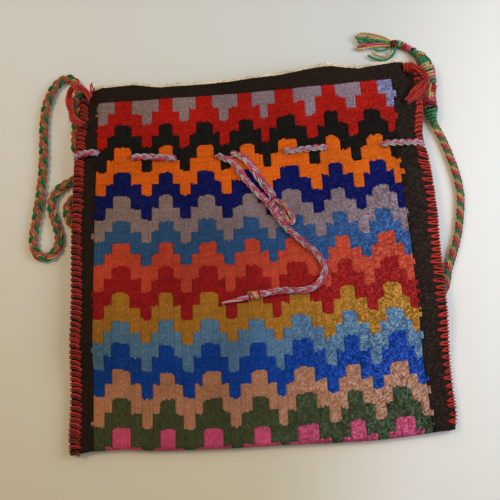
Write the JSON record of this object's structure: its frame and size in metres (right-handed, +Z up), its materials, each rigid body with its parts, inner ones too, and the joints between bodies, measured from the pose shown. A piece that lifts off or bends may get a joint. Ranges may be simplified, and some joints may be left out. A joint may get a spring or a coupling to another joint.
{
  "type": "woven shoulder bag",
  "caption": "Flat hand-woven shoulder bag: stepped tapestry front, whip-stitched sides, plaited strap and a drawstring threaded below the mouth.",
  "frame": {"origin": "centre of the bag's outline on the surface it lies on, strap and tails left out", "axes": "+X to the right along the weft rows, +Y from the fold up to the mouth, +Z up out of the front panel"},
  "size_m": [0.2988, 0.2817, 0.0219],
  "materials": {
    "back_panel_wool": "matte wool",
    "back_mouth_edge_wool": "matte wool",
    "left_seam_wool": "matte wool",
    "right_seam_wool": "matte wool",
    "drawstring_back_wool": "matte wool",
    "drawstring_left_turn_wool": "matte wool",
    "drawstring_right_turn_wool": "matte wool",
    "shoulder_strap_wool": "matte wool",
    "strap_knot_wool": "matte wool",
    "strap_tassel_wool": "matte wool",
    "strap_lashing_left_wool": "matte wool",
    "strap_lashing_right_wool": "matte wool",
    "tassel_tan_yarn_wool": "matte wool",
    "tassel_green_yarn_wool": "matte wool",
    "tassel_red_yarn_wool": "matte wool",
    "tassel_loop_yarn_wool": "matte wool",
    "left_border_wool": "matte wool",
    "right_border_wool": "matte wool",
    "top_border_wool": "matte wool",
    "lilac_block_1_wool": "matte wool",
    "lilac_block_2_wool": "matte wool",
    "lilac_block_3_wool": "matte wool",
    "lilac_block_4_wool": "matte wool",
    "lilac_block_5_wool": "matte wool",
    "lilac_block_6_wool": "matte wool",
    "lilac_block_7_wool": "matte wool",
    "lilac_block_8_wool": "matte wool",
    "red_band_wool": "matte wool",
    "black_band_wool": "matte wool",
    "orange_band_wool": "matte wool",
    "navy_band_wool": "matte wool",
    "grey_mauve_band_wool": "matte wool",
    "steel_blue_band_wool": "matte wool",
    "coral_band_wool": "matte wool",
    "crimson_band_wool": "matte wool",
    "ochre_band_wool": "matte wool",
    "light_blue_band_wool": "matte wool",
    "royal_blue_band_wool": "matte wool",
    "tan_pink_band_wool": "matte wool",
    "dark_green_band_wool": "matte wool",
    "pink_band_wool": "matte wool",
    "front_mouth_edge_wool": "matte wool",
    "drawstring_front_left_wool": "matte wool",
    "drawstring_front_right_wool": "matte wool",
    "drawstring_long_tail_wool": "matte wool",
    "drawstring_short_tail_wool": "matte wool",
    "drawstring_loop_knot_wool": "matte wool",
    "drawstring_end_knot_wool": "matte wool",
    "drawstring_tip_wool": "matte wool"
  },
  "bodies": {
    "back": {"back_panel": "back_panel_wool", "back_mouth_edge": "back_mouth_edge_wool", "left_seam": "left_seam_wool", "right_seam": "right_seam_wool", "drawstring_back": "drawstring_back_wool", "drawstring_left_turn": "drawstring_left_turn_wool", "drawstring_right_turn": "drawstring_right_turn_wool", "shoulder_strap": "shoulder_strap_wool", "strap_knot": "strap_knot_wool", "strap_tassel": "strap_tassel_wool", "strap_lashing_left": "strap_lashing_left_wool", "strap_lashing_right": "strap_lashing_right_wool", "tassel_tan_yarn": "tassel_tan_yarn_wool", "tassel_green_yarn": "tassel_green_yarn_wool", "tassel_red_yarn": "tassel_red_yarn_wool", "tassel_loop_yarn": "tassel_loop_yarn_wool"},
    "front": {"left_border": "left_border_wool", "right_border": "right_border_wool", "top_border": "top_border_wool", "lilac_block_1": "lilac_block_1_wool", "lilac_block_2": "lilac_block_2_wool", "lilac_block_3": "lilac_block_3_wool", "lilac_block_4": "lilac_block_4_wool", "lilac_block_5": "lilac_block_5_wool", "lilac_block_6": "lilac_block_6_wool", "lilac_block_7": "lilac_block_7_wool", "lilac_block_8": "lilac_block_8_wool", "red_band": "red_band_wool", "black_band": "black_band_wool", "orange_band": "orange_band_wool", "navy_band": "navy_band_wool", "grey_mauve_band": "grey_mauve_band_wool", "steel_blue_band": "steel_blue_band_wool", "coral_band": "coral_band_wool", "crimson_band": "crimson_band_wool", "ochre_band": "ochre_band_wool", "light_blue_band": "light_blue_band_wool", "royal_blue_band": "royal_blue_band_wool", "tan_pink_band": "tan_pink_band_wool", "dark_green_band": "dark_green_band_wool", "pink_band": "pink_band_wool", "front_mouth_edge": "front_mouth_edge_wool", "drawstring_front_left": "drawstring_front_left_wool", "drawstring_front_right": "drawstring_front_right_wool"},
    "drawstring_tails": {"drawstring_long_tail": "drawstring_long_tail_wool", "drawstring_short_tail": "drawstring_short_tail_wool", "drawstring_loop_knot": "drawstring_loop_knot_wool", "drawstring_end_knot": "drawstring_end_knot_wool", "drawstring_tip": "drawstring_tip_wool"}
  },
  "joints": [
    {"name": "mouth_open", "type": "hinge", "parent": "back", "child": "front", "pos_m": [0, -0.1221, 0.0072], "axis": [1, 0, 0], "range_deg": [0, 12], "deforming": ["left_seam", "strap_lashing_left", "strap_lashing_right", "right_seam", "drawstring_left_turn", "drawstring_right_turn"]},
    {"name": "drawstring_pull", "type": "slide", "parent": "front", "child": "drawstring_tails", "axis": [0.5501, -0.8351, 0], "range_m": [0, 0.025]}
  ]
}
